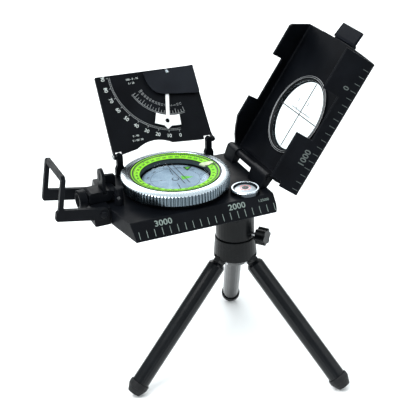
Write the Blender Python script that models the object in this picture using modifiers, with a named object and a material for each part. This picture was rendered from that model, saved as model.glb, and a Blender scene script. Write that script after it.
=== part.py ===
"""Geology compass on a folding mini tripod, modelled as separate pieces.

The base plate is level. Positions on the compass are given in millimetres from the
front left bottom corner of the base plate (x along its ruler edge, y across it, z up),
and the bodies' empties carry them into the part frame, whose z = 0 is the floor.
"""
import math

import bmesh
import bpy

MM = 0.001
TURN_STEPS = 36
SMALL_STEPS = 20
GAP = 0.3

# Where the base plate's corner lies in the part frame.
BASE_CORNER = (-51.3, -38.2, 105.9)

# Base plate
BASE_LENGTH, BASE_WIDTH, BASE_HEIGHT = 75.5, 67.8, 7.9
BASE_LEAN = 6.4
NOSE, NOSE_Y0, NOSE_Y1 = 4.2, 24.4, 43.4
BLOCK_X0, BLOCK_HEIGHT = -12.7, 9.3
MID_Y = 33.9

# Compass capsule and bezel
DIAL = (34.04, 33.9)
BEZEL_R, BEZEL_Z0, BEZEL_Z1, BEZEL_TOP = 27.75, 10.4, 15.4, 16.7
BEZEL_TOP_R, RING_R, RING_IN_R = 23.5, 22.44, 18.06
CAPSULE_R, CAPSULE_NECK_R, CAPSULE_WELL_R = 25.0, 20.9, 19.6
CARD_Z = 12.0

# Round level
LEVEL = (63.5, 13.8)
LEVEL_R = 7.4

# Lid: hinge axis, opening and shell
LID_HINGE = (76.0, MID_Y, 13.0)
LID_OPEN = 56.0
LID_AXIS_U, LID_AXIS_N = -2.68, 12.06
LID_U0, LID_U1, LID_BOW = -2.4, 72.5, 1.8
LID_HALF, LID_WALL, LID_LEAN, LID_T = 34.2, 16.1, 6.2, 1.5
WINDOW_U, WINDOW_R, WINDOW_RING_R = 30.74, 19.4, 21.5
LUG_R, KNUCKLE_R, PIN_R = 2.6, 1.9, 0.9

# Clinometer
CLINO_HINGE = (38.2, 58.5, 19.25)
CLINO_LEAN = 37.9
CLINO_W, CLINO_H, CLINO_T = 55.6, 41.6, 1.4
CLINO_FOOT, CLINO_EDGE, EAR_T, EAR_R = 2.4, 0.6, 1.0, 1.6
CLINO_BACK = 0.3
PENDULUM_AT = (39.6, 39.6)
PENDULUM_LENGTH, PENDULUM_HANG = 31.3, 13.4

# Thumb loop
LOOP_MID = 35.7
LOOP_HINGE = (-8.6, LOOP_MID, 7.4)
LOOP_TILT = 10.0
LOOP_Y0, LOOP_Y1, LOOP_ARM_T = 22.0, 49.4, 2.2
LOOP_REACH, LOOP_POST, LOOP_RISE, LOOP_POST_T = 24.2, 22.0, 19.9, 2.2
LOOP_BAR, LOOP_LEAN = 2.5, 0.5

# Eyepiece
EYE_HINGE = (0.9, 35.2, 12.2)
BARREL_AT = (-13.0, 35.2, 11.2)
LEAF_X, EYE_POST_AT, CHEEK_Y = -4.7, (1.5, 28.0), 41.2

# Tripod
AXIS = (67.0, 33.9)
BALL_Z, BALL_R = -16.5, 6.5
HOUSING_R, HOUSING_TOP, HOUSING_BOTTOM = 10.3, -10.6, -26.6
HUB_TOP, HUB_TOP_R, HUB_R, HUB_BOTTOM, HUB_CHAMFER = -26.9, 10.75, 11.6, -41.0, 2.9
FOOT_Z, FOOT_R = -105.9, 62.4
LEG_HINGE_R, LEG_HINGE_Z = 9.0, -38.9
LEG_R, CAP_R = 4.7, 5.4
LEG_AZIMUTHS = (67.9, 187.9, 307.9)
KNOB_AZIMUTH, KNOB_Z, KNOB_AT = -52.0, -24.2, 16.0


def wipe():
    for ob in list(bpy.data.objects):
        bpy.data.objects.remove(ob, do_unlink=True)


wipe()
parts = bpy.data.collections.new("geology_compass")
cutters = bpy.data.collections.new("cutters")
bpy.context.scene.collection.children.link(parts)
bpy.context.scene.collection.children.link(cutters)


def material(name, colour, roughness, metallic=0.0):
    """A Principled material."""
    mat = bpy.data.materials.new(name)
    mat.use_nodes = True
    shader = mat.node_tree.nodes["Principled BSDF"]
    shader.inputs["Base Color"].default_value = (*colour, 1.0)
    shader.inputs["Roughness"].default_value = roughness
    shader.inputs["Metallic"].default_value = metallic
    return mat


BLACK_PAINT = ((0.035, 0.036, 0.038), 0.45, 0.0)
BLACK_GLOSS = ((0.03, 0.032, 0.035), 0.3, 0.0)
GREY_PAINT = ((0.10, 0.10, 0.105), 0.45, 0.0)
BRIGHT = ((0.82, 0.86, 0.88), 0.22, 1.0)
STEEL = ((0.6, 0.6, 0.6), 0.3, 1.0)
RUBBER = ((0.03, 0.03, 0.03), 0.7, 0.0)
LIME = ((0.62, 0.72, 0.25), 0.5, 0.0)
WHITE = ((0.8, 0.82, 0.8), 0.45, 0.0)
GLASS = ((0.85, 0.92, 0.93), 0.05, 0.0)
CARD = ((0.55, 0.66, 0.74), 0.4, 0.3)


class Body:
    """An empty on a body's joint axis; its pieces are placed relative to it."""

    def __init__(self, name, pivot, parent=None, rotation=(0, 0, 0)):
        self.pivot = pivot
        self.turned = any(rotation)
        self.empty = bpy.data.objects.new("axis_" + name, None)
        self.empty.empty_display_size = 0.005
        parts.objects.link(self.empty)
        start = parent.pivot if parent else tuple(-c for c in BASE_CORNER)
        self.empty.location = [(a - b) * MM for a, b in zip(pivot, start)]
        self.empty.rotation_euler = [math.radians(a) for a in rotation]
        if parent:
            self.empty.parent = parent.empty

    def local(self, at):
        """Metres from the pivot: a turned body takes its own axes, others the base's."""
        if self.turned:
            return [a * MM for a in at]
        return [(a - b) * MM for a, b in zip(at, self.pivot)]


def finish(ob, body, at, rotation, look, smooth=30.0):
    """Places a piece in its body, with its own material and smooth round faces."""
    ob.parent = body.empty
    ob.location = body.local(at)
    ob.rotation_euler = [math.radians(a) for a in rotation]
    if look is None:
        for coll in list(ob.users_collection):
            coll.objects.unlink(ob)
        cutters.objects.link(ob)
        ob.hide_render = True
        ob.display_type = "WIRE"
    else:
        ob.data.materials.clear()
        ob.data.materials.append(material(ob.name + "_mat", *look))
        ob.data.shade_smooth()
        ob.data.set_sharp_from_angle(angle=math.radians(smooth))
    return ob


def outline(name, points, thickness, body, at=(0, 0, 0), rotation=(0, 0, 0), look=None):
    """A flat outline in local XY, thickened evenly to both sides along local Z."""
    curve = bpy.data.curves.new(name, "CURVE")
    curve.dimensions = "2D"
    curve.fill_mode = "BOTH"
    curve.extrude = thickness * MM / 2
    spline = curve.splines.new("POLY")
    spline.points.add(len(points) - 1)
    for point, (x, y) in zip(spline.points, points):
        point.co = (x * MM, y * MM, 0, 1)
    spline.use_cyclic_u = True
    source = bpy.data.objects.new(name + "_curve", curve)
    parts.objects.link(source)
    bpy.context.view_layer.update()
    graph = bpy.context.evaluated_depsgraph_get()
    mesh = bpy.data.meshes.new_from_object(source.evaluated_get(graph))
    bpy.data.objects.remove(source, do_unlink=True)
    weld = bmesh.new()
    weld.from_mesh(mesh)
    bmesh.ops.remove_doubles(weld, verts=weld.verts, dist=0.00001)
    bmesh.ops.recalc_face_normals(weld, faces=weld.faces)
    weld.to_mesh(mesh)
    weld.free()
    mesh.name = name
    ob = bpy.data.objects.new(name, mesh)
    parts.objects.link(ob)
    return finish(ob, body, at, rotation, look)


def turned(name, profile, body, at, rotation=(0, 0, 0), look=None, steps=TURN_STEPS, ring=False):
    """A profile of (radius, height), down its outer side, screwed round local Z."""
    mesh = bpy.data.meshes.new(name)
    count = len(profile)
    edges = [(i, i + 1) for i in range(count - 1)]
    if ring:
        edges.append((count - 1, 0))
    mesh.from_pydata([(r * MM, 0, z * MM) for r, z in profile], edges, [])
    ob = bpy.data.objects.new(name, mesh)
    parts.objects.link(ob)
    screw = ob.modifiers.new("turn", "SCREW")
    screw.steps = steps
    screw.render_steps = steps
    screw.use_merge_vertices = True
    screw.merge_threshold = 0.00001
    screw.use_smooth_shade = True
    finish(ob, body, at, rotation, look)
    return ob


def box(name, size, body, at, rotation=(0, 0, 0), look=None, bevel=0.0):
    """A box given by its size in mm, with rounded edges where it is a visible piece."""
    mesh = bpy.data.meshes.new(name)
    cube = bmesh.new()
    bmesh.ops.create_cube(cube, size=1.0)
    bmesh.ops.scale(cube, vec=[s * MM for s in size], verts=cube.verts)
    cube.to_mesh(mesh)
    cube.free()
    ob = bpy.data.objects.new(name, mesh)
    parts.objects.link(ob)
    finish(ob, body, at, rotation, look)
    if bevel:
        soften(ob, bevel)
    return ob


def cylinder(name, radius, depth, body, at, rotation=(0, 0, 0), look=None, steps=SMALL_STEPS):
    """A plain cylinder along local Z."""
    mesh = bpy.data.meshes.new(name)
    shape = bmesh.new()
    bmesh.ops.create_cone(shape, cap_ends=True, segments=steps, radius1=radius * MM,
                          radius2=radius * MM, depth=depth * MM)
    shape.to_mesh(mesh)
    shape.free()
    ob = bpy.data.objects.new(name, mesh)
    parts.objects.link(ob)
    return finish(ob, body, at, rotation, look)


def soften(ob, width, segments=2, angle=35.0):
    bevel = ob.modifiers.new("round", "BEVEL")
    bevel.width = width * MM
    bevel.segments = segments
    bevel.limit_method = "ANGLE"
    bevel.angle_limit = math.radians(angle)
    bevel.use_clamp_overlap = True


def combine(ob, operation, *others):
    for other in others:
        step = ob.modifiers.new(operation.lower(), "BOOLEAN")
        step.operation = operation
        step.solver = "EXACT"
        step.object = other
    return ob


def arc(centre, radius, start, end, count):
    """Points on an arc, angles in degrees, both ends included."""
    cx, cy = centre
    angles = [math.radians(start + (end - start) * i / (count - 1)) for i in range(count)]
    return [(cx + radius * math.cos(a), cy + radius * math.sin(a)) for a in angles]


def rounded(points, radius, count=4):
    """The closed outline with each corner rounded to the radius given for it."""
    total = len(points)
    radii = radius if isinstance(radius, (list, tuple)) else [radius] * total
    path = []
    for i, (x, y) in enumerate(points):
        if radii[i] <= 0:
            path.append((x, y))
            continue
        ax, ay = points[i - 1][0] - x, points[i - 1][1] - y
        bx, by = points[(i + 1) % total][0] - x, points[(i + 1) % total][1] - y
        la, lb = math.hypot(ax, ay), math.hypot(bx, by)
        ax, ay, bx, by = ax / la, ay / la, bx / lb, by / lb
        half = math.acos(max(-1.0, min(1.0, ax * bx + ay * by))) / 2
        back = radii[i] / math.tan(half)
        reach = radii[i] / math.sin(half)
        mx, my = ax + bx, ay + by
        lm = math.hypot(mx, my)
        cx, cy = x + mx / lm * reach, y + my / lm * reach
        a0 = math.atan2(y + ay * back - cy, x + ax * back - cx)
        a1 = math.atan2(y + by * back - cy, x + bx * back - cx)
        turn = (a1 - a0 + math.pi) % (2 * math.pi) - math.pi
        for k in range(count):
            a = a0 + turn * k / (count - 1)
            path.append((cx + radii[i] * math.cos(a), cy + radii[i] * math.sin(a)))
    return path


def disc_profile(radius, top, bottom, edge=0.0):
    """Profile of a solid disc whose upper rim is chamfered by edge."""
    if edge:
        return [(0, top), (radius - edge, top), (radius, top - edge), (radius, bottom), (0, bottom)]
    return [(0, top), (radius, top), (radius, bottom), (0, bottom)]


XZ = (90, 0, 0)      # local X stays x, local Y becomes z, local Z points to -y
YZ = (90, 0, 90)     # local X becomes y, local Y becomes z, local Z points to x

# ---------------------------------------------------------------- bodies
hub_body = Body("hub", (AXIS[0], AXIS[1], FOOT_Z))
head_body = Body("head", (AXIS[0], AXIS[1], BALL_Z), hub_body)
base_body = Body("base", (AXIS[0], AXIS[1], BALL_Z), head_body)
bezel_body = Body("bezel", (*DIAL, BEZEL_Z0), base_body)
card_body = Body("card", (*DIAL, CARD_Z), base_body)
lid_body = Body("lid", LID_HINGE, base_body, (0, -LID_OPEN, 0))
clino_body = Body("clinometer", CLINO_HINGE, base_body, (90 - CLINO_LEAN, 0, 0))
loop_body = Body("thumb_loop", LOOP_HINGE, base_body, (0, LOOP_TILT, 0))
eye_body = Body("eyepiece", EYE_HINGE, base_body)

# ---------------------------------------------------------------- base plate
plan = rounded([(0, 0), (BASE_LENGTH, 0), (BASE_LENGTH, BASE_WIDTH - 4.5),
                (BASE_LENGTH - 4.0, BASE_WIDTH), (0, BASE_WIDTH), (-NOSE, NOSE_Y1), (-NOSE, NOSE_Y0)],
               [1.0, 2.8, 1.0, 1.0, 1.0, 1.0, 1.0])
section = rounded([(0, 0), (BASE_WIDTH, 0), (BASE_WIDTH - BASE_LEAN, BASE_HEIGHT), (BASE_LEAN, BASE_HEIGHT)],
                  [0.3, 0.3, 0.9, 0.9])
base_plate = outline("base_plate", plan, 3 * BASE_HEIGHT, base_body, (0, 0, 0), look=BLACK_PAINT)
section_cut = outline("base_section", section, 3 * BASE_LENGTH, base_body, (BASE_LENGTH / 2, 0, 0), YZ)
capsule_pocket = cylinder("capsule_pocket", CAPSULE_R + GAP, 8.0, base_body, (*DIAL, 8.0), steps=TURN_STEPS)
level_pocket = cylinder("level_pocket", 6.2, 7.0, base_body, (*LEVEL, 8.1))
socket_bore = cylinder("socket_bore", 3.3, 12.4, base_body, (*AXIS, 0))
combine(base_plate, "INTERSECT", section_cut)
combine(base_plate, "DIFFERENCE", capsule_pocket, level_pocket, socket_bore)

block_outline = rounded([(BLOCK_X0, 0), (-NOSE - GAP, 0), (-NOSE - GAP, BLOCK_HEIGHT),
                         (BLOCK_X0, BLOCK_HEIGHT)], [0.8, 0, 0, 0.8])
BLOCK_W = LOOP_Y1 - LOOP_Y0 - 2 * (LOOP_ARM_T + GAP)
end_block = outline("end_block", block_outline, BLOCK_W, base_body, (0, LOOP_MID, 0), XZ, BLACK_PAINT)
for side, sign in (("front", -1), ("rear", 1)):
    bore = cylinder("loop_bore_" + side, 1.5, 12.0, base_body,
                    (LOOP_HINGE[0], LOOP_MID + sign * BLOCK_W / 2, LOOP_HINGE[2]), XZ)
    combine(end_block, "DIFFERENCE", bore)
barrel_groove = cylinder("barrel_groove", 3.6, 30, base_body, (-8.0, *BARREL_AT[1:]), YZ)
combine(end_block, "DIFFERENCE", barrel_groove)

# Capsule: a cup sunk in the base plate, its neck standing inside the bezel.
capsule = [(0, 6.4), (CAPSULE_WELL_R, 6.4), (CAPSULE_WELL_R, 14.5), (CAPSULE_NECK_R, 14.5),
           (CAPSULE_NECK_R, 10.1), (CAPSULE_R, 10.1), (CAPSULE_R, 4.3), (0, 4.3)]
turned("capsule_cup", capsule, base_body, (*DIAL, 0), look=BLACK_PAINT)
turned("card_pivot", [(0, 11.6), (0.3, 11.2), (0.7, 9.0), (1.6, 8.6), (1.6, 6.7), (0, 6.7)], base_body,
       (*DIAL, 0), look=STEEL, steps=16)

# Round level: a glass in a bright collar.
turned("level_collar", [(6.2, 10.4), (LEVEL_R - 0.5, 10.4), (LEVEL_R, 9.9), (LEVEL_R, 8.2), (6.2, 8.2)],
       base_body, (*LEVEL, 0), look=BRIGHT, steps=36, ring=True)
turned("level_vial", [(0, 10.3), (3.0, 10.1), (5.0, 9.6), (5.8, 9.0), (5.8, 4.9), (0, 4.9)], base_body,
       (*LEVEL, 0), look=GLASS, steps=32)

# Lid hinge lugs stand on the base plate; one pin runs through both and the lid's barrel.
LUG_Y = {"front": (13.0, 28.0), "rear": (47.5, 57.5)}
BARREL_Y = (28.3, 47.2)
hx, hz = LID_HINGE[0], LID_HINGE[2]
for side, (y0, y1) in LUG_Y.items():
    foot = [(hx - 4.5, BASE_HEIGHT + GAP), (hx - 0.8, BASE_HEIGHT + GAP)]
    head = arc((hx, hz), LUG_R, -50, 150, 14)
    lug = outline("lid_lug_" + side, foot + head, y1 - y0, base_body, (0, (y0 + y1) / 2, 0), XZ, BLACK_PAINT)
    bore = cylinder("lug_bore_" + side, PIN_R + GAP, 20, base_body, (hx, (y0 + y1) / 2, hz), XZ)
    combine(lug, "DIFFERENCE", bore)
pin_ends = (LUG_Y["front"][0] - 0.5, LUG_Y["rear"][1] + 0.5)
cylinder("lid_pin", PIN_R, pin_ends[1] - pin_ends[0], base_body, (hx, sum(pin_ends) / 2, hz), XZ, STEEL)

# Clinometer posts: waisted, with a round head that takes the hinge pin.
POST_X = {"left": 13.2, "right": 63.2}
for side, x in POST_X.items():
    half = 2.05
    post_outline = [(-half - 0.4, BASE_HEIGHT + GAP), (half + 0.4, BASE_HEIGHT + GAP), (half + 0.4, 12.4),
                    (half - 0.45, 14.2), (half - 0.45, 17.0)]
    post_outline += arc((0, CLINO_HINGE[2]), half - 0.45, 0, 180, 9)
    post_outline += [(-half + 0.45, 17.0), (-half + 0.45, 14.2), (-half - 0.4, 12.4)]
    post = outline("clino_post_" + side, post_outline, 2.2, base_body, (x, CLINO_HINGE[1], 0), XZ, BLACK_PAINT)
    bore = cylinder("post_bore_" + side, 0.9, 8.0, base_body, (x, *CLINO_HINGE[1:]), YZ, steps=16)
    combine(post, "DIFFERENCE", bore)

# ---------------------------------------------------------------- bezel
turned("bezel_ring", [(BEZEL_TOP_R, BEZEL_TOP), (BEZEL_R - 0.25, BEZEL_Z1 + 0.05), (BEZEL_R, BEZEL_Z1 - 0.2),
                      (BEZEL_R, BEZEL_Z0 + 0.3), (BEZEL_R - 0.3, BEZEL_Z0), (RING_R + 0.4, BEZEL_Z0),
                      (RING_R + 0.4, BEZEL_TOP - 0.6), (RING_R + 0.7, BEZEL_TOP)],
       bezel_body, (*DIAL, 0), look=BRIGHT, steps=48, ring=True)
turned("graduated_ring", [(RING_IN_R, 15.7), (RING_R, BEZEL_TOP), (RING_R, 14.8), (19.0, 14.8), (19.0, 13.0),
                          (RING_IN_R, 13.0)], bezel_body, (*DIAL, 0), look=LIME, steps=48, ring=True)
turned("dial_glass", disc_profile(RING_IN_R - GAP, 14.9, 13.9, 0.2), bezel_body, (*DIAL, 0), look=GLASS)

# ---------------------------------------------------------------- compass card
turned("compass_card", [(0, 13.2), (0.9, 13.0), (1.6, 12.5), (17.2, 12.4), (17.2, 12.0), (1.0, 12.0),
                        (0.9, 12.2), (0, 12.4)], card_body, (*DIAL, 0), look=CARD)

# ---------------------------------------------------------------- lid
LU = -LID_AXIS_U
LN = -LID_AXIS_N


def lid_at(u, y, n):
    """Lid point (along, across, up from the outer face) in the lid body's own axes."""
    return (u + LU, y - MID_Y, n + LN)


inner = LID_HALF - 1.7
channel = rounded([(-LID_HALF, 0), (LID_HALF, 0), (LID_HALF - LID_LEAN, LID_WALL),
                   (LID_HALF - LID_LEAN - LID_T, LID_WALL), (inner, LID_T), (-inner, LID_T),
                   (-LID_HALF + LID_LEAN + LID_T, LID_WALL), (-LID_HALF + LID_LEAN, LID_WALL)],
                  [1.6, 1.6, 0.3, 0.3, 0.8, 0.8, 0.3, 0.3])
lid_length = LID_U1 + LID_BOW - LID_U0
lid_shell = outline("lid_shell", channel, lid_length, lid_body,
                    lid_at((LID_U0 + LID_U1 + LID_BOW) / 2, MID_Y, 0), YZ, BLACK_PAINT)
bow = [(LID_U1 + LID_BOW * (1 - (s / 6) ** 2 * (0.3 if s > 0 else 1)), LID_HALF * s / 6) for s in range(-6, 7)]
bow_cut = outline("lid_plan", [(-20, -40), (LID_U1 - 2, -40)] + bow + [(LID_U1 - 2, 40), (-20, 40)], 60,
                  lid_body, lid_at(0, MID_Y, 0))
window_hole = cylinder("window_hole", WINDOW_R + 1.3, 8, lid_body, lid_at(WINDOW_U, MID_Y, 0), steps=TURN_STEPS)
notches = outline("lid_notches", [(25.5, 8.0), (50.5, 8.0), (50.5, 22), (25.5, 22)], 90, lid_body,
                  lid_at(0, MID_Y, 0), XZ)
rear_taper = outline("rear_taper", [(-12, 3.6), (-3.5, 4.6), (0, 7.0), (3, 9.9), (7, 12.6), (11, 14.8),
                                    (14, 16.6), (14, 24), (-12, 24)], 24, lid_body,
                     lid_at(0, MID_Y + LID_HALF - 3.0, 0), XZ)
front_step = outline("front_step", [(-12, 10.2), (-0.4, 10.2), (0.2, 11), (0.2, 24), (-12, 24)], 24, lid_body,
                     lid_at(0, MID_Y - LID_HALF + 3.0, 0), XZ)
rear_end = outline("rear_end", [(LID_U1 + 1.6, -0.5), (LID_U1 + 1.2, 1.8), (LID_U1 - 3.4, LID_WALL - 1.2),
                                (LID_U1 - 4.6, LID_WALL), (LID_U1 - 10, 24), (LID_U1 + 8, 24), (LID_U1 + 8, -0.5)],
                   24, lid_body, lid_at(0, MID_Y + LID_HALF - 3.0, 0), XZ)
combine(lid_shell, "INTERSECT", bow_cut)
combine(lid_shell, "DIFFERENCE", window_hole, notches, rear_taper, front_step, rear_end)
# End wall between the lugs, rolled into the hinge barrel, and lower beside it.
wall_in = LID_U0 + LID_T
barrel_mid = sum(BARREL_Y) / 2
barrel_tab = [(LID_U0, 0.4), (wall_in, 0.4), (wall_in, LID_AXIS_N - 2.0)]
barrel_tab += arc((LID_AXIS_U, LID_AXIS_N), KNUCKLE_R, -30, 250, 16)
end_barrel = outline("end_barrel", barrel_tab, BARREL_Y[1] - BARREL_Y[0], lid_body, lid_at(0, barrel_mid, 0), XZ)
end_wall = box("end_wall", (LID_T, 46.0, 7.6), lid_body, lid_at(LID_U0 + LID_T / 2, 35.0, 4.2))
barrel_bore = cylinder("barrel_pin_bore", PIN_R + GAP, 40, lid_body, lid_at(LID_AXIS_U, barrel_mid, LID_AXIS_N), XZ)
combine(lid_shell, "UNION", end_barrel, end_wall)
combine(lid_shell, "DIFFERENCE", barrel_bore)

turned("window_ring", [(WINDOW_RING_R - 0.3, 2.7), (WINDOW_RING_R, 2.4), (WINDOW_RING_R, 1.8),
                       (WINDOW_R + 1.0, 1.8), (WINDOW_R + 1.0, 0.2), (WINDOW_R - 0.6, 0.2),
                       (WINDOW_R - 0.6, 0.8), (WINDOW_R, 0.8), (WINDOW_R, 2.4), (WINDOW_R + 0.3, 2.7)],
       lid_body, lid_at(WINDOW_U, MID_Y, 0), look=BRIGHT, steps=48, ring=True)
turned("window_glass", disc_profile(WINDOW_R - GAP, 2.2, 1.1), lid_body, lid_at(WINDOW_U, MID_Y, 0), look=GLASS)

# Thumb tab: lapped under the lid's free edge, then rising level with the plate.
TAB_W = 20.0
tab_side = [(66.0, -1.6), (75.0, -1.6), (76.0, -0.7), (83.0, -1.5), (83.1, -0.2), (76.4, 0.7), (75.0, 0.7),
            (74.7, -0.3), (66.0, -0.3)]
tab_plan = rounded([(66, -10), (83.6, -9.6), (83.6, 9.6), (66, 10)], [0.8, 1.6, 1.6, 0.8], 5)
thumb_tab = outline("thumb_tab", tab_side, TAB_W + 4, lid_body, lid_at(0, MID_Y, 0), XZ, GREY_PAINT)
tab_cut = outline("tab_plan", tab_plan, 30, lid_body, lid_at(0, MID_Y, 0))
combine(thumb_tab, "INTERSECT", tab_cut)

# ---------------------------------------------------------------- clinometer
# Its own axes: X along the hinge from the left edge, Y up the plate, Z toward the viewer's side.
HALF_W = CLINO_W / 2
FACE = -CLINO_BACK


def clino_at(x, v, n):
    return (x - HALF_W, v, n)


notch = [p for p in arc((23.8, -12.8), 17.9, 140, 40, 13) if p[1] > CLINO_EDGE]
plate = [(0, CLINO_FOOT), (4.8, CLINO_FOOT), (4.8, CLINO_EDGE)] + notch
plate += [(CLINO_W - 4.8, CLINO_EDGE), (CLINO_W - 4.8, CLINO_FOOT), (CLINO_W, CLINO_FOOT)]
plate += [(CLINO_W - 0.5, CLINO_H - 0.4), (CLINO_W - 0.9, CLINO_H), (1.2, CLINO_H + 1.8), (0.8, CLINO_H + 1.4)]
clino_plate = outline("clino_plate", plate, CLINO_T, clino_body, clino_at(0, 0, FACE - CLINO_T / 2),
                      look=BLACK_PAINT)
ear_outline = [(4.2, FACE - CLINO_T + 0.1), (4.2, FACE - 0.1)] + arc((0, 0), EAR_R, 30, 285, 12)
for side, x, sign in (("left", EAR_T / 2, -1), ("right", CLINO_W - EAR_T / 2, 1)):
    ear = outline("clino_ear_" + side, ear_outline, EAR_T - 0.04, clino_body, clino_at(x, 0, 0), YZ)
    bore = cylinder("clino_bore_" + side, 0.9, 4.0, clino_body, clino_at(x, 0, 0), (0, 90, 0), steps=16)
    combine(clino_plate, "UNION", ear)
    combine(clino_plate, "DIFFERENCE", bore)
    turned("clino_pin_" + side, [(0, 0.9), (0.8, 0.8), (1.2, 0.5), (1.2, 0.0), (0.6, 0.0), (0.6, -4.2), (0, -4.2)],
           base_body, (CLINO_HINGE[0] + sign * (HALF_W + GAP), *CLINO_HINGE[1:]), (0, 90 * sign, 0),
           look=STEEL, steps=16)

px, pv = PENDULUM_AT
cover = [(CLINO_W - 1.0, 26.6), (CLINO_W - 1.0, 41.0), (26.6, 41.0), (26.8, 37.6), (27.6, 34.2), (29.2, 31.2),
         (31.4, 29.2), (34.4, 28.0), (52.6, 25.6), (CLINO_W - 1.4, 25.8)]
clino_cover = outline("clino_cover", cover, 0.7, clino_body, clino_at(0, 0, 1.75), look=GREY_PAINT)
rim_top = box("cover_rim_top", (11.0, 1.0, 1.6), clino_body, clino_at(48.1, 40.5, 0.9))
rim_side = box("cover_rim_side", (1.0, 11.0, 1.6), clino_body, clino_at(CLINO_W - 1.5, 35.4, 0.9))
cover_hole = cylinder("cover_hole", 1.2, 8, clino_body, clino_at(px, pv, 0), steps=16)
combine(clino_cover, "UNION", rim_top, rim_side)
combine(clino_cover, "DIFFERENCE", cover_hole)
turned("pendulum_pin", [(0, 2.6), (0.6, 2.5), (0.9, 2.2), (0.9, 0.0), (0, 0.0)], clino_body,
       clino_at(px, pv, 0), look=BRIGHT, steps=16)

# ---------------------------------------------------------------- pendulum
pend_body = Body("pendulum", (0, 0, 0), None, (0, 0, -PENDULUM_HANG))
pend_body.empty.parent = clino_body.empty
pend_body.empty.location = [a * MM for a in clino_at(px, pv, 0)]
tip = -PENDULUM_LENGTH
pend_outline = [(-0.9, -1.5), (-0.9, tip + 7.6), (-3.6, tip + 7.8), (-6.3, tip + 8.5), (-7.1, tip + 2.8),
                (-1.9, tip + 1.9), (0, tip), (1.9, tip + 1.9), (7.1, tip + 2.8), (6.3, tip + 8.5),
                (3.6, tip + 7.8), (0.9, tip + 7.6), (0.9, -1.5)]
pend_outline += arc((0, 0), 1.9, -52, 232, 14)
pendulum = outline("pendulum", pend_outline, 0.6, pend_body, (0, 0, 0.7), look=WHITE)
pend_hole = cylinder("pend_hole", 1.2, 6, pend_body, (0, 0, 0), steps=16)
pend_window = cylinder("pend_window", 1.2, 6, pend_body, (-0.3, tip + 4.6, 0), steps=16)
combine(pendulum, "DIFFERENCE", pend_hole, pend_window)

# ---------------------------------------------------------------- thumb loop
# Its own axes: -X along the arms, Z up the posts, which lean outward a little.


def loop_side(reach):
    """Outline of one arm with its post."""
    inner_x, outer_x = -LOOP_POST + LOOP_POST_T / 2, -LOOP_POST - LOOP_POST_T / 2
    return rounded([(2.6, -3.0), (2.6, 3.0), (inner_x, 3.0), (inner_x - LOOP_LEAN, LOOP_RISE),
                    (outer_x - LOOP_LEAN, LOOP_RISE), (outer_x - 0.2, 2.4), (-reach, 1.6), (-reach, -3.0)],
                   [2.4, 2.4, 1.0, 0, 0, 0.4, 0.4, 1.2])


half_y = (LOOP_Y1 - LOOP_Y0) / 2
arm_y = half_y - LOOP_ARM_T / 2
thumb_loop = outline("thumb_loop", loop_side(LOOP_REACH), LOOP_ARM_T, loop_body, (0, -arm_y, 0), XZ, BLACK_PAINT)
rear_arm = outline("loop_rear_arm", loop_side(LOOP_REACH - 1.0), LOOP_ARM_T, loop_body, (0, arm_y, 0), XZ)
bar_x = -LOOP_POST - LOOP_LEAN * (1 - LOOP_BAR / 2 / LOOP_RISE)
bar_low, bar_high = LOOP_RISE - LOOP_BAR, LOOP_RISE + 0.2
loop_bar = outline("loop_bar", [(-half_y + 0.2, bar_low), (half_y - 0.2, bar_low), (half_y - 0.2, bar_high),
                                (-half_y + 0.2, bar_high)], LOOP_POST_T - 0.3, loop_body, (bar_x, 0, 0), YZ)
combine(thumb_loop, "UNION", loop_bar, rear_arm)
for side, sign in (("front", -1), ("rear", 1)):
    corner = [(sign * (half_y + 1), LOOP_RISE - 1.4), (sign * half_y, LOOP_RISE - 1.4),
              (sign * (half_y - 1.8), LOOP_RISE + 0.1), (sign * (half_y - 1.8), LOOP_RISE + 2),
              (sign * (half_y + 1), LOOP_RISE + 2)]
    trim = outline("loop_trim_" + side, corner, 10, loop_body, (bar_x, 0, 0), YZ)
    combine(thumb_loop, "DIFFERENCE", trim)
loop_eye = cylinder("loop_eye", 1.5, 40, loop_body, (0, 0, 0), XZ)
combine(thumb_loop, "DIFFERENCE", loop_eye)
for side, sign in (("front", -1), ("rear", 1)):
    turned("loop_pin_" + side, [(0, 8.3), (1.5, 8.2), (1.8, 7.9), (1.8, 7.6), (1.2, 7.6), (1.2, 0), (0, 0)],
           base_body, (LOOP_HINGE[0], LOOP_MID + sign * (half_y - 7.3), LOOP_HINGE[2]), (-90 * sign, 0, 0),
           look=STEEL, steps=20)

# ---------------------------------------------------------------- eyepiece
ex, ey, ez = EYE_HINGE
housing = [(-12.8, 9.7), (-2.2, 9.7), (-1.2, 10.4)] + arc((ex, ez), 2.2, 235, 430, 10)
housing += [(-0.9, 14.8), (-2.2, 15.4), (-11.6, 15.2), (-12.8, 14.4)]
eye_housing = outline("eyepiece_housing", housing, 9.0, eye_body, (0, ey, 0), XZ, BLACK_PAINT)
barrel_bore = cylinder("barrel_bore", 3.5, 9.2, eye_body, BARREL_AT, YZ)
eye_bore = cylinder("eye_bore", 1.2, 30, eye_body, (ex, ey, ez), XZ, steps=16)
leaf_slot = box("leaf_slot", (2.2, 12.0, 5.0), eye_body, (LEAF_X, ey, 15.9))
combine(eye_housing, "DIFFERENCE", barrel_bore, eye_bore, leaf_slot)
turned("eyepiece_barrel", [(4.5, 4.6), (4.8, 4.2), (4.8, 0.9), (4.3, 0.2), (3.2, 0.2), (3.2, -4.0), (2.3, -4.0),
                           (2.3, 3.0), (3.5, 4.6)], eye_body, BARREL_AT, (0, -90, 0), look=BLACK_PAINT,
       steps=28, ring=True)
turned("eyepiece_lens", [(0, 2.6), (1.2, 2.4), (2.0, 2.0), (2.0, 1.2), (0, 1.2)], eye_body, BARREL_AT,
       (0, -90, 0), look=GLASS, steps=SMALL_STEPS)
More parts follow.
